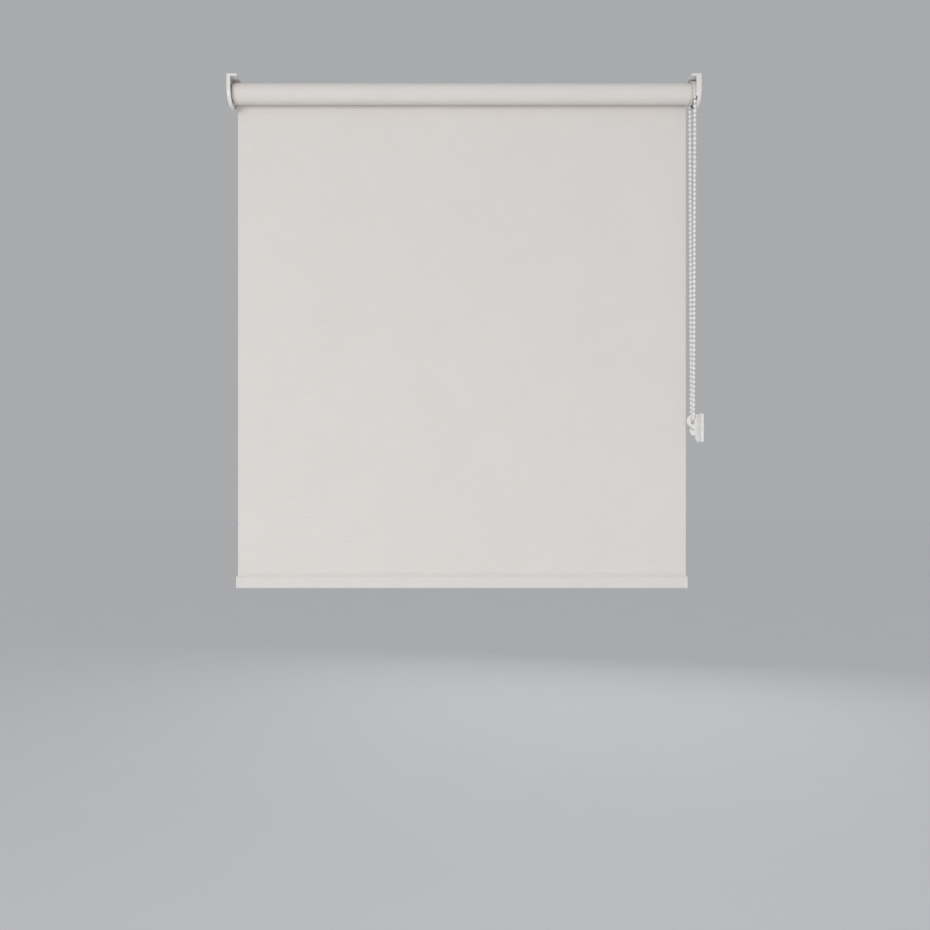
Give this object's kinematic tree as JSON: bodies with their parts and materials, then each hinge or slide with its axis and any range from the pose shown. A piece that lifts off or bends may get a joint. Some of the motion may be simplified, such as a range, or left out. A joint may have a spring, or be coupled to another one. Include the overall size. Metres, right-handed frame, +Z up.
{
  "type": "roller blind",
  "caption": "Chain-driven roller blind for a window recess: fabric on a tube between two ceiling brackets, hem bar, bead chain and wall clip.",
  "frame": {"origin": "on the recess's ceiling, at the centre of the brackets' four ceiling holes, straight above the tube's axis", "axes": "+X along the tube towards the chain, -Y into the room, +Z up"},
  "size_m": [0.6238, 0.0392, 0.6745],
  "materials": {
    "bracket_steel": "white powder coat",
    "white_plastic": "warm white moulded plastic, satin",
    "grey_plastic": "pale grey moulded nylon",
    "zinc_steel": "zinc plated or spring steel",
    "tube_aluminium": "mill finish extrusion",
    "tape": "double-sided tape",
    "blind_fabric": "fine plain weave with a blackout coating, warm light grey",
    "chain_plastic": "white moulded beads, slightly glossy",
    "clip_plastic": "milky white moulded plastic"
  },
  "bodies": {
    "root": {"left_bracket": "bracket_steel", "left_bracket_cover": "white_plastic", "idle_bearing": "white_plastic", "right_bracket": "bracket_steel", "right_bracket_cover": "white_plastic", "chain_guard": "white_plastic", "clutch_spindle": "grey_plastic", "spindle_screw": "zinc_steel", "bead_chain": "chain_plastic", "safety_clip": "clip_plastic"},
    "roller": {"roller_tube": "tube_aluminium", "fixing_tape": "tape", "fabric_roll": "blind_fabric", "clutch_driver": "grey_plastic", "idle_plug": "grey_plastic", "pin_spring": "zinc_steel"},
    "chain_wheel": {"chain_wheel": "white_plastic", "brake_spring_1": "zinc_steel", "brake_spring_2": "zinc_steel", "brake_spring_3": "zinc_steel"},
    "idle_pin": {"idle_pin": "zinc_steel"},
    "hem": {"fabric_drop": "blind_fabric", "hem_pocket": "blind_fabric", "hem_bar": "tube_aluminium", "hem_cap_left": "white_plastic", "hem_cap_right": "white_plastic"}
  },
  "joints": [
    {"name": "roller_turn", "type": "hinge", "parent": "root", "child": "roller", "pos_m": [0, 0, -0.018], "axis": [1, 0, 0], "range_deg": [-1495.38, 2547.69]},
    {"name": "chain_wheel_turn", "type": "hinge", "parent": "root", "child": "chain_wheel", "pos_m": [0, 0, -0.018], "axis": [1, 0, 0], "range_deg": [-1495.5, 2547.8], "deforming": ["bead_chain"]},
    {"name": "bar_lift", "type": "slide", "parent": "root", "child": "hem", "axis": [0, 0, 1], "range_m": [-0.3475, 0.592], "deforming": ["fabric_drop"]},
    {"name": "pin_press", "type": "slide", "parent": "roller", "child": "idle_pin", "axis": [1, 0, 0], "range_m": [0, 0.006], "stiffness_N_per_m": 800, "springref_m": -0.008, "deforming": ["pin_spring"]}
  ],
  "couplings": [
    {"joint": "chain_wheel_turn", "follows": "roller_turn", "ratio": 1},
    {"joint": "bar_lift", "follows": "roller_turn", "m_per_rad": 0.0133}
  ]
}
